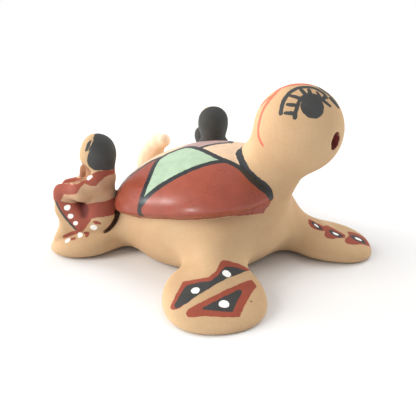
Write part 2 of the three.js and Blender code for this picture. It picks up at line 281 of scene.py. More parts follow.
def mouth_field(p):
    place = frame_at(HEAD_MIDDLE, NECK["turn"] + MOUTH["turn"], MOUTH["climb"])
    lips = (to_world((HEAD_RADIUS, 0, 0), place), place[1])
    return pebble(p, lips, np.array([MOUTH["depth"], MOUTH["width"] / 2, MOUTH["height"] / 2]))


class Fields:
    """The distance fields of the clay's forms at some points."""

    def __init__(self, points):
        self.points = points
        self.turtle = turtle_field(points)
        self.shell = shell_field(points)
        self.children = [child_field(points, child) for child in CHILDREN]
        self.mouth = mouth_field(points)
        self.family = np.minimum.reduce(self.children)
        self.adult = join(self.turtle, self.shell, FILLET["shell"])
        whole = join(self.adult, self.family, FILLET["child"])
        whole = carve(whole, self.mouth, FILLET["mouth"])
        whole = carve(whole, crevice_field(points), FILLET["crevice"])
        self.clay = carve(whole, points[:, 2], FILLET["foot"])


def clay_field(p):
    return Fields(p).clay


def slope_of(field, p, step=0.02):
    return np.stack([(field(p + step * axis) - field(p - step * axis)) / (2 * step)
                     for axis in np.eye(3)], 1)


def settle(field, p, rounds=2, least_slope=0.5):
    """Draws points onto the surface where a field is 0."""
    for _ in range(rounds):
        slope = slope_of(field, p)
        steep = np.maximum((slope * slope).sum(1), least_slope ** 2)
        p = p - slope * (field(p) / steep)[:, None]
    return p


def surface_net(field, low, high, mesh):
    """Closed net of quads over the surface where a field is 0: one point for each grid cell that it
    crosses. Corners far from the surface only get the sign of their block."""
    block, slack = 4, 3
    blocks = np.ceil((high - low) / (mesh * block)).astype(int)
    counts = blocks * block
    index = np.stack(np.meshgrid(*[np.arange(n) for n in blocks], indexing="ij"), -1).reshape(-1, 3)
    middles = low + (index + 0.5) * block * mesh
    coarse = field(middles)
    values = np.repeat(np.repeat(np.repeat(coarse.reshape(blocks), block, 0), block, 1), block, 2)
    near = np.abs(coarse) < block * mesh + slack
    offset = np.stack(np.meshgrid(*[np.arange(block)] * 3, indexing="ij"), -1).reshape(-1, 3)
    corners = (index[near][:, None] * block + offset).reshape(-1, 3)
    values[tuple(corners.T)] = field(low + corners * mesh)
    total = np.zeros((counts.prod(), 3))
    hits = np.zeros(counts.prod())
    flat = lambda cell: np.ravel_multi_index(tuple(cell.T), counts)
    quads = []
    for axis in range(3):
        ahead = np.eye(3, dtype=int)[axis]
        u, v = np.eye(3, dtype=int)[(axis + 1) % 3], np.eye(3, dtype=int)[(axis + 2) % 3]
        here = values[tuple(slice(0, n - a) for n, a in zip(counts, ahead))]
        there = values[tuple(slice(a, n) for n, a in zip(counts, ahead))]
        crossed = np.argwhere((here < 0) != (there < 0))
        a, b = here[tuple(crossed.T)], there[tuple(crossed.T)]
        points = low + (crossed + (a / (a - b))[:, None] * ahead) * mesh
        around = [flat(crossed - move) for move in (0 * u, u, u + v, v)]
        for cell in around:
            for n in range(3):
                total[:, n] += np.bincount(cell, points[:, n], len(total))
            hits += np.bincount(cell, minlength=len(hits))
        loop = np.stack(around, 1)
        loop[a > 0] = loop[a > 0][:, ::-1]
        quads.append(loop)
    used = np.flatnonzero(hits)
    number = np.zeros(len(hits), int)
    number[used] = np.arange(len(used))
    return total[used] / hits[used][:, None], number[np.concatenate(quads)]


def even_out(points, quads, field, rounds):
    """Evens out the net's points and draws each one back onto the surface."""
    ends = np.concatenate([quads[:, [n, (n + 1) % 4]] for n in range(4)])
    for _ in range(rounds):
        total = np.zeros_like(points)
        for n in range(3):
            total[:, n] = np.bincount(ends[:, 0], points[ends[:, 1], n], len(points))
        count = np.bincount(ends[:, 0], minlength=len(points))
        points = settle(field, (points + total / count[:, None]) / 2, 1)
    return points


def edges_of(triangles, count):
    """Each edge once, by the numbers of its two ends, and which edges go round each triangle."""
    ends = np.sort(triangles[:, [0, 1, 1, 2, 2, 0]].reshape(-1, 2), 1)
    keys, which = np.unique(ends[:, 0] * count + ends[:, 1], return_inverse=True)
    return np.stack([keys // count, keys % count], 1), which.reshape(-1, 3)


def halve(triangles, which, middle):
    """Splits every edge that has a middle point, and its triangles to fit."""
    mids = middle[which]
    split = mids >= 0
    count = split.sum(1)
    out = [triangles[count == 0]]
    t, m = triangles[count == 3], mids[count == 3]
    out += [np.stack(c, 1) for c in (
        (t[:, 0], m[:, 0], m[:, 2]), (m[:, 0], t[:, 1], m[:, 1]),
        (m[:, 2], m[:, 1], t[:, 2]), (m[:, 0], m[:, 1], m[:, 2]))]
    for turn in range(3):
        order = [(turn + n) % 3 for n in range(3)]
        t, m = triangles[:, order], mids[:, order]
        one = (count == 1) & split[:, order[0]]
        out += [np.stack(c, 1) for c in (
            (m[one, 0], t[one, 2], t[one, 0]), (m[one, 0], t[one, 1], t[one, 2]))]
        two = (count == 2) & split[:, order[0]] & split[:, order[1]]
        out += [np.stack(c, 1) for c in (
            (m[two, 0], t[two, 1], m[two, 1]), (t[two, 0], m[two, 0], m[two, 1]),
            (t[two, 0], m[two, 1], t[two, 2]))]
    return np.concatenate(out)


# Painting. Each slip, and each patch of painted shade, is a list of shapes, and a shape gives the
# signed distance to its border at the skin's points, negative inside and FAR where it is of no concern.
PAINTS = {}


def paint(paint_layer, *shapes):
    PAINTS.setdefault(paint_layer, []).extend(shapes)


def smooth_through(keys, steps=6, closed=False):
    """Points along a smooth curve through the keys."""
    keys = np.asarray(keys, float)
    if closed:
        ring = np.concatenate([keys[-1:], keys, keys[:2]])
    else:
        ring = np.concatenate([2 * keys[:1] - keys[1:2], keys, 2 * keys[-1:] - keys[-2:-1]])
    out = []
    for n in range(1, len(ring) - 2):
        a, b, c, d = ring[n - 1:n + 3]
        for t in np.arange(steps) / steps:
            out.append(0.5 * (2 * b + (c - a) * t + (2 * a - 5 * b + 4 * c - d) * t * t
                              + (3 * b - a - 3 * c + d) * t ** 3))
    if not closed:
        out.append(ring[-2])
    return np.array(out)


def stroke(keys, widths, steps=6):
    """A brush stroke through places on the clay. widths are given from its start to its end."""
    path = settle(clay_field, smooth_through(keys, steps), 3)
    half = np.interp(np.linspace(0, 1, len(path)), np.linspace(0, 1, len(widths)), widths) / 2
    middle = (path.max(0) + path.min(0)) / 2
    size = np.linalg.norm(path - middle, axis=1).max() + PAINT_MARGIN

    def shape(fields):
        out = np.full(len(fields.points), FAR)
        near = np.flatnonzero(np.linalg.norm(fields.points - middle, axis=1) < size)
        p = fields.points[near]
        best = np.full(len(near), FAR)
        for n in range(len(path) - 1):
            best = np.minimum(best, limb(p, path[n], path[n + 1], half[n:n + 2]))
        out[near] = best
        return out
    return shape


def outline_distance(p, outline):
    """Signed distance in a plane to a closed outline, negative inside."""
    best = np.full(len(p), 1e9)
    inside = np.zeros(len(p), bool)
    for a, b in zip(outline, np.roll(outline, -1, 0)):
        along = b - a
        share = np.clip((p - a) @ along / max(along @ along, 1e-12), 0, 1)
        best = np.minimum(best, np.linalg.norm(p - a - share[:, None] * along, axis=1))
        spans = (a[1] <= p[:, 1]) != (b[1] <= p[:, 1])
        rise = along[1] if along[1] else 1e-12
        inside ^= spans & (p[:, 0] < a[0] + (p[:, 1] - a[1]) / rise * along[0])
    return np.where(inside, -best, best)


def patch(place, outline, axes=(0, 1), depth=(-1e9, 1e9), smooth=False):
    """A painted patch: an outline in two axes of a frame, and how far it reaches along the third."""
    outline = smooth_through(outline, 4, True) if smooth else np.asarray(outline, float)
    low, high = outline.min(0) - PAINT_MARGIN, outline.max(0) + PAINT_MARGIN
    third = 3 - sum(axes)

    def shape(fields):
        out = np.full(len(fields.points), FAR)
        q = to_local(fields.points, place)
        flat = q[:, axes]
        near = np.flatnonzero(((flat > low) & (flat < high)).all(1)
                              & (q[:, third] > depth[0]) & (q[:, third] < depth[1]))
        out[near] = outline_distance(flat[near], outline)
        return out
    return shape


def dot(place, along, length, width, depth=4.0):
    """An oval dot at a place on the clay, its long side turned to a direction."""
    place = settle(clay_field, np.asarray(place, float)[None], 3)
    up = slope_of(clay_field, place)[0]
    up /= np.linalg.norm(up)
    ahead = along - (along @ up) * up
    ahead /= np.linalg.norm(ahead)
    axes = np.stack([ahead, np.cross(up, ahead), up], 1)
    return patch((place[0], axes), oval((0, 0), length, width, corners=24), depth=(-depth, depth))


def only_on(shape, region):
    return lambda fields: np.maximum(shape(fields), region(fields))


def oval(middle, length, width, turn=0.0, corners=28):
    angles = np.linspace(0, 2 * math.pi, corners, endpoint=False)
    a = math.radians(turn)
    x, y = length / 2 * np.cos(angles), width / 2 * np.sin(angles)
    return np.stack([middle[0] + x * math.cos(a) - y * math.sin(a),
                     middle[1] + x * math.sin(a) + y * math.cos(a)], 1)


def rounded(outline, reach=0.9):
    """An outline with its corners cut round."""
    outline = np.asarray(outline, float)
    out = []
    for before, corner, after in zip(np.roll(outline, 1, 0), outline, np.roll(outline, -1, 0)):
        a, b = (end - corner for end in (before, after))
        a, b = (way * min(reach / max(np.linalg.norm(way), 1e-9), 0.5) for way in (a, b))
        out += [corner + a, corner + (a + b) / 4, corner + b]
    return np.array(out)


# Where a paint may lie
def on_shell_only(f):
    return np.maximum(f.shell - f.turtle, f.adult - f.family)


def on_turtle_only(f):
    return np.maximum(f.turtle - f.shell, f.adult - f.family)


def off_shell(f):
    return np.minimum(f.turtle, f.family) - f.shell


def on_child_only(number):
    def region(f):
        others = [field for n, field in enumerate(f.children) if n != number]
        return f.children[number] - np.minimum.reduce([f.adult, *others])
    return region


# Shell: its places are given in degrees off the crest, forward and to the left; the rim is at 90.
# The lines of the right side come first, and the left side's mirror them over the pattern's middle.
def on_shell(places):
    places = np.asarray(places, float)
    off = np.hypot(*places.T)
    way = places / np.maximum(off, 1e-9)[:, None]
    off = np.radians(off)
    q = np.stack([np.sin(off) * way[:, 0], np.sin(off) * way[:, 1], np.cos(off)], 1)
    plan = (np.abs(q[:, 0]) ** SHELL["plan"] + np.abs(q[:, 1]) ** SHELL["plan"]) ** (1 / SHELL["plan"])
    size = (plan ** SHELL["edge"] + np.abs(q[:, 2]) ** SHELL["edge"]) ** (1 / SHELL["edge"])
    radii = np.stack(np.broadcast_arrays(*shell_radii(q[:, 2])), 1)
    return to_world(q / size[:, None] * radii, SHELL_FRAME)


def shell_places(p):
    x, y, z = to_local(p, SHELL_FRAME).T
    a, b, c = shell_radii(z)
    x, y, z = x / a, y / b, z / c
    level = np.maximum(np.hypot(x, y), 1e-9)
    off = np.degrees(np.arctan2(level, z))
    return np.stack([off * x / level, off * y / level], 1)


MM_PER_DEGREE = 0.75
PATTERN_MIDDLE = 8.0
SHELL_LINE_WIDTH = 2.8
CROSS_LINE_WIDTH = 2.7
SIDE_LINE = [
    (-18.5, -97), (-17.5, -88), (-16.3, -83.7), (-12.7, -70.7), (-11.0, -54.6), (-13.3, -37.3),
    (-14.2, -29.3), (-12.6, -25.3), (-10.9, -21.0), (-8.3, -18.4), (-5.5, -15.0),
]
FRONT_LINE = [
    (-15.4, -81), (-12.1, -78.1), (-6.2, -71.4), (3.2, -61.8), (11.0, -53.9), (18.9, -45.1),
    (26.1, -36.5), (31.4, -30.3), (37.0, -25.9), (42.3, -25.6),
]
NECK_LINE = [
    (-5.5, -15.0), (0.5, -11.9), (11.3, -16.0), (21.4, -20.8), (30.7, -24.3), (38.3, -24.9),
    (47.8, -26.3), (57.2, -29.7), (65.1, -31.2), (71.0, -30.9), (77.4, -28.8), (84.7, -28.0),
]
CROSS_LINE = [(10.6, -14.9), (13.3, -7.6), (16.9, 1.7), (20.5, 8.0)]
REAR_LINE = [
    (-14.4, -26.0), (-22.5, -30.5), (-28.2, -36.3), (-34.0, -40.0), (-41.7, -44.1), (-57.2, -55.6),
    (-76, -66), (-96, -78),
]


def shell_line(keys, side=-1):
    keys = np.asarray(keys, float)
    return smooth_through(keys if side < 0 else keys * (1, -1) + (0, 2 * PATTERN_MIDDLE), 5)


def panel(*edges):
    """A painted panel of the shell, its outline in the shell's own places."""
    outline = np.concatenate(edges)

    def shape(fields):
        out = np.full(len(fields.points), FAR)
        near = np.flatnonzero(np.abs(fields.shell) < PAINT_MARGIN)
        out[near] = outline_distance(shell_places(fields.points[near]), outline) * MM_PER_DEGREE
        return np.maximum(out, on_shell_only(fields))
    return shape


def nearest(path, place):
    return np.argmin(np.linalg.norm(path - place, axis=1))


necks, rears = [], []
for side in (-1, 1):
    lines = [shell_line(keys, side) for keys in (SIDE_LINE, FRONT_LINE, NECK_LINE, REAR_LINE)]
    for path in lines:
        paint("ink", only_on(stroke(on_shell(path), [SHELL_LINE_WIDTH], 1), on_shell_only))
    sides, front, neck, rear = lines
    paint("mint", panel(front, neck[:nearest(neck, front[-1]) + 1][::-1],
                        sides[nearest(sides, front[0]):][::-1]))
    necks.append(neck)
    rears.append(rear)
crosses = [shell_line(CROSS_LINE, side) for side in (-1, 1)]
for path in crosses:
    paint("ink", only_on(stroke(on_shell(path), [CROSS_LINE_WIDTH], 1), on_shell_only))
crossing = nearest(necks[0], crosses[0][0])
paint("mauve", panel(necks[0][:crossing + 1], crosses[0], crosses[1][::-1], necks[1][:crossing + 1][::-1]))
nape = panel(necks[0][crossing:], necks[1][crossing:][::-1], crosses[1], crosses[0][::-1])

# Where the neck meets the shell, in millimetres of the shell's own frame. The shell's slips stop at
# the neck's right side, and a black band runs round the neck, its width given by height.
GAP_RIGHT = -10.8
GAP_LEAN = 0.42
GAP_MIDDLE = 4.0
GAP_FRONT = 34.0
BAND_ON_DOME = ((5.5, 8.4, 13.8, 17), (2.8, 3.8, 1.4, 0.3))
BAND_ON_NECK = ((2.2, 6, 8, 10.3, 14.5, 21.5), (0.2, 1.0, 1.2, 1.0, 1.6, 3.6))
BAND_TOP = 9.0
BAND_END = 2.0
BAND_BACK = 8.0
BAND_TIP = [
    (38.6, -16.9, 11.2), (40.6, -16.8, 9.4), (42.2, -15.9, 7.6), (43.8, -14.6, 5.8), (44.9, -13.6, 4.0),
    (45.6, -12.9, 1.9), (45.7, -12.5, 0.0),
]
BAND_TIP_WIDTHS = [3.0, 4.6, 4.6, 4.2, 4.1, 4.1, 3.7, 3.0]

# The strip of red under the rim at the right front, across and up as it is seen from there
RIM_SIDE = frame_at((0, 0, 0), -47)
RIM_DEPTH = (25, 60)
RIM_PATCH = [
    (2.5, 32.9), (6.8, 32.5), (18.3, 32.4), (20.8, 32.5), (21.7, 34.4), (23.2, 35.7), (23.7, 36.9),
    (24.3, 38.8), (20, 41), (3, 37),
]


def neck_gap(p):
    """Negative where the shell's slips stop short of the neck."""
    x, y, z = to_local(p, SHELL_FRAME).T
    right = GAP_RIGHT - GAP_LEAN * np.clip(z, 0, BAND_TOP)
    return np.maximum.reduce([right - y, y - GAP_MIDDLE, GAP_FRONT - x])


def off_gap(f):
    return -neck_gap(f.points)


def neck_band(f):
    """The black band round the neck's foot, partly on the dome and partly on the neck."""
    z = to_local(f.points, SHELL_FRAME)[:, 2]
    on_dome = f.turtle - np.interp(z, *BAND_ON_DOME)
    on_neck = f.shell - np.interp(z, *BAND_ON_NECK)
    low = np.where(z < BAND_TOP, np.minimum(off_gap(f), FAR), -FAR)
    return np.maximum.reduce([on_dome, on_neck, low, BAND_END - z, BAND_BACK - f.points[:, 0],
                              f.adult - f.family])


def on_painted_shell(f):
    return np.maximum(on_shell_only(f), off_gap(f))


paint("peach", only_on(nape, off_gap), panel(necks[0][:1], rears[0], rears[1][::-1], necks[1][:1]))
rim_patch = only_on(patch(RIM_SIDE, RIM_PATCH, (1, 2), RIM_DEPTH), on_turtle_only)
paint("brick", on_painted_shell, rim_patch)
paint("gloss", on_painted_shell, rim_patch)
paint("ink", neck_band)
paint("ink", stroke(to_world(BAND_TIP, SHELL_FRAME), BAND_TIP_WIDTHS, 3))

# Head: places are given in degrees, turned from the middle plane of the face, and climbed. The lines
# are the right side's, apart from the far brow and the far tail of a lid, and the left side's mirror
# the lid, the first lashes, the cheek and the nape. Widths are in millimetres.
FACE = frame_at(HEAD_MIDDLE, NECK["turn"] - 6)
EYE_MIDDLE = [(-41.0, 39.0)]
EYE_WIDTH = 9.9
EYE_HEIGHT = 10.6
EYE_DEPTH = (-6, 3)
LID = [
    (-65.7, 24.1), (-65.7, 32.6), (-63.3, 42.5), (-58.5, 49.9), (-50.6, 54.4), (-38.2, 56.0),
    (-26.2, 53.5), (-19.8, 47.5), (-14.2, 42.0), (-9.7, 37.7),
]
LID_WIDTHS = [1.7, 1.7, 2.0, 2.0, 1.6]
FAR_LID_KEYS = 7
LASHES = [
    [(-67.7, 29.4), (-79.3, 29.3)], [(-65.6, 39.7), (-79.8, 40.3)], [(-63.1, 50.6), (-80.9, 54.0)],
    [(-50.2, 56.6), (-60.3, 66.5)], [(-39.2, 56.5), (-36.0, 66.5)], [(-20.8, 51.5), (-18.6, 59.4)],
    [(-18.6, 47.5), (-5.2, 51.3)],
]
LASH_WIDTHS = [1.9, 1.6]
FAR_LASHES = 5
BROW = [
    (-85.9, 28.1), (-87.4, 35.0), (-88.8, 43.0), (-88.5, 52.5), (-83.6, 62.4), (-68.1, 71.2),
    (-35.7, 73.0), (-11.1, 69.2), (-4.0, 61.6), (-2.2, 55.5), (-4.8, 49.6),
]
BROW_WIDTHS = [1.8, 2.0, 2.3, 2.8, 2.3, 1.9]
FAR_BROW = [
    (85.9, 28.1), (87.4, 35.0), (88.8, 43.0), (88.5, 52.5), (83.6, 62.4), (68.1, 71.2), (42, 72),
    (25, 68), (14.5, 61.2), (12.8, 55.6), (13.5, 48.5), (15.2, 38.0), (16.2, 33.0),
]
FAR_BROW_WIDTHS = [1.8, 2.0, 2.3, 2.4, 1.8, 1.4]
FAR_TAIL = [(4.6, 46.9), (8.7, 41.3), (12.7, 35.0)]
FAR_TAIL_WIDTHS = [2.0, 3.0, 2.6]
CROWN_LINE = [(20.5, 79.2), (-44.1, 86.0), (-120.6, 79.7), (-135.8, 70.1), (-140.1, 63.0)]
CROWN_WIDTHS = [3.0, 3.6, 3.2]
CHEEK_LINE = [
    (-140.1, 63.0), (-124.4, 50.9), (-121.8, 39.7), (-121.6, 30.1), (-120.3, 19.4), (-119.4, 8.2),
    (-118.6, -0.3), (-115.2, -7.6), (-109.5, -14.0),
]
CHEEK_WIDTHS = [3.0, 2.6, 2.2, 2.1, 1.9, 1.5]
NAPE_LINE = [(-123.8, 52.9), (-131.8, 45.1), (-139.9, 32.7)]
NAPE_WIDTH = 2.2


def on_head(places, side=1):
    """Places on the head's surface, found in steps outward from inside it."""
    turn, climb = np.radians(np.asarray(places, float)).T
    turn = turn * side
    ways = np.stack([np.cos(climb) * np.cos(turn), np.cos(climb) * np.sin(turn), np.sin(climb)], 1)
    ways = ways @ FACE[1].T
    reach = np.full(len(ways), 0.7 * HEAD_RADIUS)
    for _ in range(25):
        reach = reach - turtle_field(HEAD_MIDDLE + ways * reach[:, None])
    return HEAD_MIDDLE + ways * reach[:, None]


for side in (-1, 1):
    middle = on_head(EYE_MIDDLE, -side)[0]
    up = (middle - HEAD_MIDDLE) / HEAD_RADIUS
    ahead = np.cross(np.array([0, 0, 1.0]), up)
    ahead /= np.linalg.norm(ahead)
    eye = (middle, np.stack([ahead, np.cross(up, ahead), up], 1))
    paint("black", patch(eye, oval((0, 0), EYE_WIDTH, EYE_HEIGHT), depth=EYE_DEPTH))
    paint("black", stroke(on_head(LID if side < 0 else LID[:FAR_LID_KEYS], -side), LID_WIDTHS))
    for lash in LASHES if side < 0 else LASHES[:FAR_LASHES]:
        paint("black", stroke(on_head(lash, -side), LASH_WIDTHS))
    paint("coral", stroke(on_head(CHEEK_LINE, -side), CHEEK_WIDTHS))
    paint("coral", stroke(on_head(NAPE_LINE, -side), [NAPE_WIDTH]))
paint("black", stroke(on_head(BROW), BROW_WIDTHS))
paint("black", stroke(on_head(FAR_BROW), FAR_BROW_WIDTHS))
paint("black", stroke(on_head(FAR_TAIL), FAR_TAIL_WIDTHS))
paint("coral", stroke(on_head(CROWN_LINE), CROWN_WIDTHS))

# The mouth's dark red and the painted shade in the gap, which run a little past their edges, and the
# tail's paler colour, which covers it above a height and fades out below
LIP = 0.15
GAP_LIP = 0.3
TAIL_PALE_HEIGHT = 36
TAIL_PALE_SLOPE = 0.06
paint("mouth", lambda f: f.mouth - LIP)
# Painted shade: dark brown in the crevice by the near child's seat
paint("umber_and_crevice_shade", lambda f: crevice_field(f.points) - GAP_LIP)
paint("pale", lambda f: tail_field(f.points) + TAIL_PALE_SLOPE * np.clip(
    TAIL_PALE_HEIGHT - f.points[:, 2], -50, 50))

# Front flippers: outlines in the paddle's plan, ahead and to the left, in millimetres. The slips lie
# on the paddle's top alone.
TOP = (-2, 30)
RIGHT_BLOCKS = [
    [(-6.7, -12.9), (-5.6, -7.5), (-4.5, -2.4), (-6.6, 1.1), (-12.0, 4.3), (-12.3, 10.8), (-14, 18.5),
     (-11.3, 16.4), (-5.5, 9.6), (-2.5, 3.7), (-0.1, -1.8), (3.2, -8.5), (6.1, -12.6), (7.8, -16.0),
     (7.8, -18.1), (5.8, -19.5), (0.5, -16.6)],
    [(11.0, -13.6), (9.3, -12.6), (4.6, -2.4), (-0.5, 8.7), (-5.7, 17.0), (-2, 18.5), (3.2, 14.6),
     (9.9, 10.5), (15.4, 7.3), (15.0, 0.9), (13.6, -6.8), (13.0, -12.8)],
]
RIGHT_FILLS = [
    [(-3.9, -11.8), (-3.6, -6.8), (-2.7, -1.5), (-5.0, 2.1), (-8.9, 5.1), (-10.1, 10.6), (-11.3, 16.4),
     (-5.5, 9.6), (-2.5, 3.7), (-0.1, -1.8), (3.2, -8.5), (6.1, -12.6), (7.6, -16.7), (6.0, -18.0)],
    [(9.8, -7.2), (6.4, -0.2), (1.2, 10.1), (1.9, 11.4), (7.3, 8.0), (13.0, 4.9), (12.1, 0.1),
     (10.7, -6.2)],
]
RIGHT_DOTS = [((-5.6, 5.6), 3.4), ((0.0, -8.4), 3.4), ((8.7, 2.2), 3.9)]
RIGHT_SPECK = ((7.5, 13.7), 0.8, 0.9)
DOT_WIDTH_SHARE = 1.12
LEFT_BLOCKS = [
    [(-14.6, -5.8), (-12.3, -5.0), (-9.7, -5.1), (-5.6, -5.2), (-5.0, -6.5), (-5.6, -8.9), (-8.9, -9.6),
     (-12.0, -9.9), (-13.9, -9.3), (-14.8, -7.7)],
    [(-4.9, -3.2), (-2.2, -0.5), (1.2, 0.3), (4.7, -1.8), (6.8, -3.9), (6.1, -7.6), (2.0, -9.7),
     (-1.1, -12.2), (-4.0, -12.7), (-5.5, -11.1), (-5.0, -8.2), (-6.0, -6.3)],
    [(8.6, 2.6), (12.4, 4.9), (18.0, 6.2), (22.0, 4.0), (23.0, -1.0), (20.0, -5.0), (15.4, -7.7),
     (10.0, -12.0), (7.0, -12.9), (5.4, -11.3), (6.4, -7.4), (8.7, -3.3), (8.6, 0.3)],
]
LEFT_OVALS = [((-9.7, -7.3), 6.6, 2.9, -14), ((1.2, -6.1), 7.8, 5.2, -1), ((14.0, -2.9), 9.2, 7.0, 15)]
PUPIL_SHARES = (0.46, 0.44)

right_paddle, left_paddle = paddle_frame("front_right"), paddle_frame("front_left")
for block in RIGHT_BLOCKS:
    paint("brick", only_on(patch(right_paddle, rounded(block), depth=TOP), on_turtle_only))
for fill in RIGHT_FILLS:
    paint("black", only_on(patch(right_paddle, rounded(fill), depth=TOP), on_turtle_only))
for middle, length in RIGHT_DOTS:
    paint("white", patch(right_paddle, oval(middle, length, length * DOT_WIDTH_SHARE), depth=TOP))
# A small dark umber speck, on the layer that also holds the crevice's painted shade
paint("umber_and_crevice_shade", patch(right_paddle, oval(*RIGHT_SPECK), depth=TOP))
for block in LEFT_BLOCKS:
    paint("brick", only_on(patch(left_paddle, rounded(block), depth=TOP), on_turtle_only))
for middle, length, width, turn in LEFT_OVALS:
    paint("black", patch(left_paddle, oval(middle, length, width, turn), depth=TOP))
    pupil = oval(middle, length * PUPIL_SHARES[0], width * PUPIL_SHARES[1], turn)
    paint("white", patch(left_paddle, pupil, depth=TOP))

# Children: places in percent of a child's height, forward and up from its seat, or forward, to its
# side and up
HAIR = [
    (12, 110), (10.5, 104), (8.6, 101.2), (7.2, 98.6), (7.3, 95), (9.2, 89.7), (11.4, 85.5), (12.9, 82),
    (13.5, 77.6), (12.2, 73),
]
HAIR_FRONT = 8.3
SMOCK = [
    (-25, 66), (-9, 67), (-1, 69), (6, 67.5), (9.5, 66), (12, 62), (20, 58), (28, 55), (40, 53), (60, 50),
    (60, 37), (51, 35), (47, 27), (41, 17), (35, 10), (31, 4), (24, 4), (13, 19), (7, 21), (-5, 21),
    (-25, 21),
]
SLEEVE = [
    (-25, 60), (-9, 62), (-5, 63), (-2, 62), (1, 59), (4, 55), (9, 55), (16, 57), (19, 54), (22, 48),
    (32, 45), (40, 44), (45, 36), (42, 35), (34, 33), (23, 32), (9, 36), (-1, 37), (-6, 38), (-25, 40),
]
LEG_LINE = [(51, 35), (47, 27), (41, 17), (35, 10), (31, 5)]
LEG_LINE_HALF = (1.9, 0.7)
# Outline of the painted shade in the hollow under the arm: darker red with a soft edge
SHADED_RECESS = [
    (31, 32.5), (23, 33.5), (18, 32), (16.4, 27.5), (17.6, 23), (20.6, 19), (25, 19.5), (26, 24),
    (28.5, 28.5),
]
SKIRT_DOTS = [((39, 29), 7.4, 5.8), ((36, 20), 6.9, 5.2), ((31, 13), 5.3, 4.6)]
SKIRT_DOT_TURN = -30
SEAT_DOTS = [((11.8, 17.8, 9.7), 7.4, 6.0), ((27.3, 17.5, 0), 6.0, 5.8), ((39.6, 22.3, -5), 6.2, 6.8)]
SEAT_DASHES = [
    ((8, 17.5, 15.1), 8.4, 4.0, 0.35), ((20.2, 17.8, 2.7), 6.4, 4.0, 0), ((33.8, 21.7, -3.2), 7.4, 4.8, 0),
]
SEAT_STROKE = [(46, 17.5, -3.5), (37.5, 17.5, 0.5), (28, 18.3, 4.5)]
SEAT_STROKE_WIDTHS = (3.0, 4.4, 3.6)
# Outline of the painted shade on the raised hand, whose clay is bare
SHADED_HAND = [(30, 77), (19, 75), (15, 71.5), (11.5, 67), (11.5, 62), (17, 59.5), (24, 57), (34, 55), (36, 66)]
EYE_SLANT = [(9.1, 98.6), (12.3, 96.5), (14.1, 92.0), (15.0, 88.0), (11.9, 88.6), (9.6, 93.4), (8.6, 97.2)]
BROW_SLANT = [(6.3, 10, 99.8), (6.9, 13, 97), (8.1, 15.2, 93.4), (11.0, 16.4, 88.7)]
BROW_SLANT_WIDTHS = [0.4, 0.8, 0.6]
CUFF_DOT = ((12, 62), 7.0, 3.4, -28)


def child_patch(number, outline, smooth=False):
    """A patch on a child alone, drawn as it is seen from the child's side."""
    outline = np.asarray(outline, float) * CHILDREN[number]["height"] / 100
    shape = patch(child_frame(CHILDREN[number]), outline, (0, 2), smooth=smooth)
    return only_on(shape, on_child_only(number))


for number, child in enumerate(CHILDREN):
    lay = lambda paint_layer, outline, smooth=False: paint(paint_layer, child_patch(number, outline, smooth))
    share = child["height"] / 100
    place = child_frame(child)
    hair = child["hair"]
    lay("brick", SMOCK)
    lay("bare", SLEEVE)
    # Painted shade: darker red in the hollow under the arm
    lay("recess_shade", SHADED_RECESS, True)
    lay("black", HAIR + [(HAIR_FRONT, hair), (-1, hair), (-9, hair - 2), (-25, hair - 3), (-25, 110)])
    # Painted shade: the raised hand's bare clay darkened to brown
    if child["raised"]:
        lay("hand_shade", SHADED_HAND, True)
    strip = np.array(LEG_LINE, float)
    lay("black", np.concatenate([strip + LEG_LINE_HALF, strip[::-1] - LEG_LINE_HALF]))
    for middle, length, across in SKIRT_DOTS:
        lay("white", oval(middle, length, across, SKIRT_DOT_TURN))
    for side in (-1, 1):
        on_side = lambda places: to_world(np.array(places, float) * (1, side, 1) * share, place)
        for middle, length, across in SEAT_DOTS:
            spot = dot(on_side(middle), place[1][:, 0], length * share, across * share)
            paint("white", only_on(spot, off_shell))
        for middle, length, across, climb in SEAT_DASHES:
            along = place[1] @ np.array([1, 0, climb])
            dash = dot(on_side(middle), along, length * share, across * share)
            paint("brick", only_on(dash, off_shell))
        edge = stroke(on_side(SEAT_STROKE), [width * share for width in SEAT_STROKE_WIDTHS], 3)
        paint("brick", only_on(edge, off_shell))
        brow = stroke(on_side(BROW_SLANT), BROW_SLANT_WIDTHS, 3)
        paint("black", only_on(brow, on_child_only(number)))
    lay("black", EYE_SLANT, True)
    lay("white", oval(*CUFF_DOT))

# Skin
low, high = (np.array(corner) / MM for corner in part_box(NODE))
margin = 3 * SKIN_MESH
points, quads = surface_net(clay_field, low - margin, high + margin, SKIN_MESH)
points = even_out(points, quads, clay_field, EVEN_ROUNDS)
triangles = np.concatenate([quads[:, [0, 1, 2]], quads[:, [0, 2, 3]]])


def painted(p):
    fields = Fields(p)
    return {paint_layer: np.minimum.reduce([shape(fields) for shape in shapes]) for paint_layer, shapes in PAINTS.items()}


def refine(points, triangles, layers):
    """Halves the edges where a paint's border runs and a straight edge wouldn't give its course."""
    ends, which = edges_of(triangles, len(points))
    length = np.linalg.norm(points[ends[:, 0]] - points[ends[:, 1]], axis=1)
    border = np.minimum.reduce([np.abs(v[ends]).min(1) for v in layers.values()])
    some = np.flatnonzero((border < BORDER_REACH * length) & (length > FINEST_EDGE))
    added = settle(clay_field, points[ends[some]].mean(1), 2)
    new = painted(added)
    wrong = np.zeros(len(some), bool)
    for paint_layer, values in layers.items():
        here = values[ends[some]]
        close = np.minimum(np.abs(here).min(1), np.abs(new[paint_layer])) < BORDER_NEARNESS * length[some]
        wrong |= close & (np.abs(new[paint_layer] - here.mean(1)) > BORDER_ERROR)
    middle = np.full(len(ends), -1)
    middle[some[wrong]] = len(points) + np.arange(wrong.sum())
    layers = {paint_layer: np.concatenate([values, new[paint_layer][wrong]]) for paint_layer, values in layers.items()}
    return np.concatenate([points, added[wrong]]), halve(triangles, which, middle), layers


layers = painted(points)
for _ in range(FINE_ROUNDS):
    points, triangles, layers = refine(points, triangles, layers)
normals = slope_of(clay_field, points)
normals /= np.maximum(np.linalg.norm(normals, axis=1), 1e-9)[:, None]
points = np.clip(points, low, high)

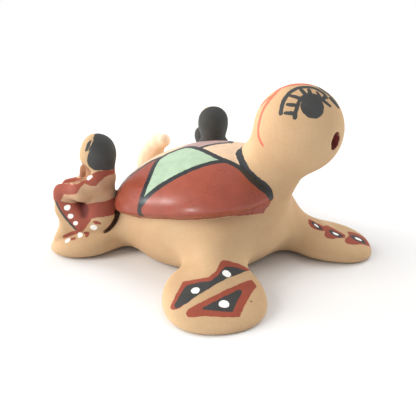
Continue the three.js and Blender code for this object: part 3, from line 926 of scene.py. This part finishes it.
mesh = bpy.data.meshes.new("painted_figure")
mesh.vertices.add(len(points))
mesh.vertices.foreach_set("co", (points * MM).ravel())
mesh.loops.add(3 * len(triangles))
mesh.loops.foreach_set("vertex_index", triangles.ravel())
mesh.polygons.add(len(triangles))
mesh.polygons.foreach_set("loop_start", np.arange(len(triangles)) * 3)
mesh.update(calc_edges=True)
mesh.validate()
mesh.polygons.foreach_set("use_smooth", np.ones(len(mesh.polygons), bool))
mesh.normals_split_custom_set_from_vertices(normals)
for paint_layer, values in layers.items():
    attribute = mesh.attributes.new(paint_layer, "FLOAT", "POINT")
    attribute.data.foreach_set("value", np.clip(values, -FAR, FAR).astype(np.float32))
figure = bpy.data.objects.new("painted_figure", mesh)
bpy.context.scene.collection.objects.link(figure)
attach(figure, "root")
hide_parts(NODE)


# Material
def rgb(*levels):
    """Colour from display levels of 0 to 255."""
    share = [v / 255 for v in levels]
    return tuple(v / 12.92 if v <= 0.04045 else ((v + 0.055) / 1.055) ** 2.4 for v in share) + (1.0,)


COLOURS = {
    "coral": rgb(192, 100, 78),
    "peach": rgb(212, 182, 152),
    "mauve": rgb(168, 138, 132),
    "mint": rgb(158, 180, 154),
    "brick": rgb(146, 71, 54),
    "bare": rgb(186, 150, 118),
    # painted shade in the hollow under a child's arm
    "recess_shade": rgb(100, 42, 36),
    "black": rgb(60, 61, 60),
    "ink": rgb(42, 44, 46),
    "white": rgb(244, 243, 238),
    # umber for a speck on a paddle, and painted shade in the crevice
    "umber_and_crevice_shade": rgb(92, 64, 46),
    # painted shade on the raised hand
    "hand_shade": rgb(150, 104, 74),
    "pale": rgb(238, 212, 184),
    "mouth": rgb(110, 38, 34),
}

# The layers of paint from the lowest up: the slips, the tail's paler top, and painted shade in the
# recess under a child's arm, on the raised hand and in the crevice. Then how much lighter each one is
# where it is thin, and how far its edge fades, in millimetres. The bump's depth is in metres.
LAYERS = ("pale", "coral", "brick", "peach", "mauve", "mint", "bare", "hand_shade", "recess_shade", "black", "ink",
          "white", "umber_and_crevice_shade", "mouth")
THIN = 1.16
CRISP = 0.09
SPECK_SHARE = 0.16
BUMP_DEPTH = 0.0003
BUMP_MATT = 0.25
BUMP_BURNISHED = 0.03
SOFT = {"recess_shade": 1.2, "pale": 1.0, "umber_and_crevice_shade": 0.4}
CLAY_PALE = rgb(203, 171, 132)
CLAY_WARM = rgb(193, 158, 119)
CLAY_SPECK = rgb(150, 112, 80)

material = bpy.data.materials.new("painted_clay")
material.use_nodes = True
tree = material.node_tree
tree.nodes.clear()


def add(kind, settings=None, **inputs):
    node = tree.nodes.new(kind)
    for name, value in (settings or {}).items():
        setattr(node, name, value)
    for name, value in inputs.items():
        socket = node.inputs[int(name[1:])] if name[0] == "_" else node.inputs[name.replace("_", " ")]
        if isinstance(value, bpy.types.NodeSocket):
            tree.links.new(value, socket)
        else:
            socket.default_value = value
    return node


def noise(scale, detail=2.0, roughness=0.5):
    """Cloudy noise over the clay. scale is in waves per metre."""
    where = add("ShaderNodeTexCoord").outputs["Object"]
    node = add("ShaderNodeTexNoise", Vector=where, Scale=scale, Detail=detail, Roughness=roughness)
    return node.outputs[0]


def math_node(operation, a, b):
    return add("ShaderNodeMath", {"operation": operation}, _0=a, _1=b).outputs[0]


def ramp(value, low, high, to_low=0.0, to_high=1.0):
    return add("ShaderNodeMapRange", {"interpolation_type": "SMOOTHSTEP"}, Value=value, _1=low, _2=high,
               _3=to_low, _4=to_high).outputs[0]


def mix(share, a, b):
    return add("ShaderNodeMix", {"data_type": "RGBA"}, _0=share, _6=a, _7=b).outputs[2]


def blend(share, a, b):
    return add("ShaderNodeMix", {"data_type": "FLOAT"}, _0=share, _2=a, _3=b).outputs[0]


# A brushed border wanders by up to this much, in millimetres
WANDER = 0.16
wobble = ramp(noise(450.0, 2.0), 0.2, 0.8, -WANDER, WANDER)


def mask(paint_layer, soft=CRISP):
    value = add("ShaderNodeAttribute", {"attribute_name": paint_layer}).outputs["Fac"]
    return ramp(math_node("ADD", value, wobble), -soft, soft, 1.0, 0.0)


clouds = ramp(noise(38.0, 3.0), 0.3, 0.7)
specks = ramp(noise(1500.0, 2.0, 0.7), 0.3, 0.72)
colour = mix(clouds, CLAY_WARM, CLAY_PALE)
colour = mix(math_node("MULTIPLY", specks, SPECK_SHARE), colour, CLAY_SPECK)
roughness = ramp(noise(90.0, 3.0), 0.3, 0.7, 0.62, 0.8)
for paint_layer in LAYERS:
    thin = tuple(min(1, THIN * v) for v in COLOURS[paint_layer])
    tone = mix(ramp(noise(220.0, 3.0), 0.25, 0.75), COLOURS[paint_layer], thin)
    colour = mix(mask(paint_layer, SOFT.get(paint_layer, CRISP)), colour, tone)
gloss = mask("gloss")
roughness = blend(gloss, roughness, ramp(noise(120.0, 3.0), 0.3, 0.7, 0.26, 0.4))
fine_grain = math_node("MULTIPLY", noise(1700.0, 3.0, 0.65), 0.35)
grain = math_node("ADD", fine_grain, math_node("MULTIPLY", noise(300.0, 3.0), 0.65))
strength = blend(gloss, BUMP_MATT, BUMP_BURNISHED)
bump = add("ShaderNodeBump", Strength=strength, Distance=BUMP_DEPTH, Height=grain)
surface = add("ShaderNodeBsdfPrincipled", Base_Color=colour, Roughness=roughness, Normal=bump.outputs[0])
add("ShaderNodeOutputMaterial", Surface=surface.outputs[0])
mesh.materials.append(material)

# Studio: places and sizes in metres
FLOOR_REACH = 12.0
floor_mesh = bpy.data.meshes.new("floor")
corners = [(x * FLOOR_REACH, y * FLOOR_REACH, 0) for x, y in ((-1, -1), (1, -1), (1, 1), (-1, 1))]
floor_mesh.from_pydata(corners, [], [(0, 1, 2, 3)])
floor = bpy.data.objects.new("floor", floor_mesh)
bpy.context.scene.collection.objects.link(floor)
floor_paint = bpy.data.materials.new("floor")
floor_paint.use_nodes = True
floor_inputs = floor_paint.node_tree.nodes["Principled BSDF"].inputs
floor_inputs["Base Color"].default_value = (0.82, 0.82, 0.82, 1)
floor_inputs["Roughness"].default_value = 0.9
floor_mesh.materials.append(floor_paint)

# The sky looks white and lights the piece with a share of that
SKY_LIGHT = 0.56
SKY_LOOK = 1.0
world = bpy.data.worlds.new("studio")
world.use_nodes = True
sky = world.node_tree
sky.nodes.clear()
seen = sky.nodes.new("ShaderNodeLightPath").outputs["Is Camera Ray"]
level = sky.nodes.new("ShaderNodeMapRange")
level.inputs["To Min"].default_value = SKY_LIGHT
level.inputs["To Max"].default_value = SKY_LOOK
sky.links.new(seen, level.inputs["Value"])
background = sky.nodes.new("ShaderNodeBackground")
background.inputs["Color"].default_value = (1, 1, 1, 1)
sky.links.new(level.outputs[0], background.inputs["Strength"])
sky.links.new(background.outputs[0], sky.nodes.new("ShaderNodeOutputWorld").inputs["Surface"])
bpy.context.scene.world = world


def area_light(name, place, aim, width, height, power):
    light = bpy.data.lights.new(name, "AREA")
    light.shape = "ELLIPSE"
    light.size = width
    light.size_y = height
    light.energy = power
    lamp = bpy.data.objects.new(name, light)
    lamp.location = place
    lamp.rotation_euler = (Vector(aim) - Vector(place)).to_track_quat("-Z", "Y").to_euler()
    lamp.visible_diffuse = False
    bpy.context.scene.collection.objects.link(lamp)


def around(azimuth, elevation, distance):
    a, e = math.radians(azimuth), math.radians(elevation)
    level = distance * math.cos(e)
    return level * math.cos(a), level * math.sin(a), distance * math.sin(e)


def sun_light(name, azimuth, elevation, energy, spread, colour=(1, 1, 1)):
    sun = bpy.data.lights.new(name, "SUN")
    sun.energy = energy
    sun.angle = math.radians(spread)
    sun.color = colour
    lamp = bpy.data.objects.new(name, sun)
    lamp.rotation_euler = (-Vector(around(azimuth, elevation, 1))).to_track_quat("-Z", "Y").to_euler()
    lamp.visible_glossy = False
    bpy.context.scene.collection.objects.link(lamp)


sun_light("key", -122, 27, 2.55, 38, (1.0, 0.98, 0.94))
sun_light("left", -172, 16, 3.05, 40)
sun_light("back", 72, 14, 1.9, 40)
sun_light("top", 100, 62, 0.7, 40)
area_light("window", around(-130, 18, 1.5), (0, 0, 0.03), 0.26, 0.26, 5.0)
area_light("side_window", around(-94, 3, 1.5), (0, 0, 0.03), 0.24, 0.08, 4.0)

# Camera: millimetres and degrees, its focal length in pixels of the picture's width
CAMERA = dict(away=230, height=111.2, azimuth=-46.8, pitch=20.4, pan=0.69, focal=483, aim=(1.0, -11.3))
PICTURE_WIDTH = 416
SENSOR_WIDTH = 36
azimuth, pan, pitch = (math.radians(CAMERA[angle]) for angle in ("azimuth", "pan", "pitch"))
toward = Vector((math.cos(azimuth), math.sin(azimuth), 0))
right = Vector((-math.sin(azimuth), math.cos(azimuth), 0))
level = -toward * math.cos(pan) + right * math.sin(pan)
ahead = level * math.cos(pitch) - Vector((0, 0, 1)) * math.sin(pitch)
across = ahead.cross(Vector((0, 0, 1))).normalized()
axes = Matrix((across, across.cross(ahead), -ahead)).transposed()
camera_data = bpy.data.cameras.new("camera")
camera_data.sensor_width = SENSOR_WIDTH
camera_data.lens = SENSOR_WIDTH * CAMERA["focal"] / PICTURE_WIDTH
camera_data.clip_start = 0.01
camera = bpy.data.objects.new("camera", camera_data)
place = Vector((*CAMERA["aim"], CAMERA["height"])) + toward * CAMERA["away"]
camera.matrix_world = Matrix.Translation(place * MM) @ axes.to_4x4()
bpy.context.scene.collection.objects.link(camera)
bpy.context.scene.camera = camera
bpy.context.scene.view_settings.view_transform = "Standard"

bpy.context.view_layer.update()
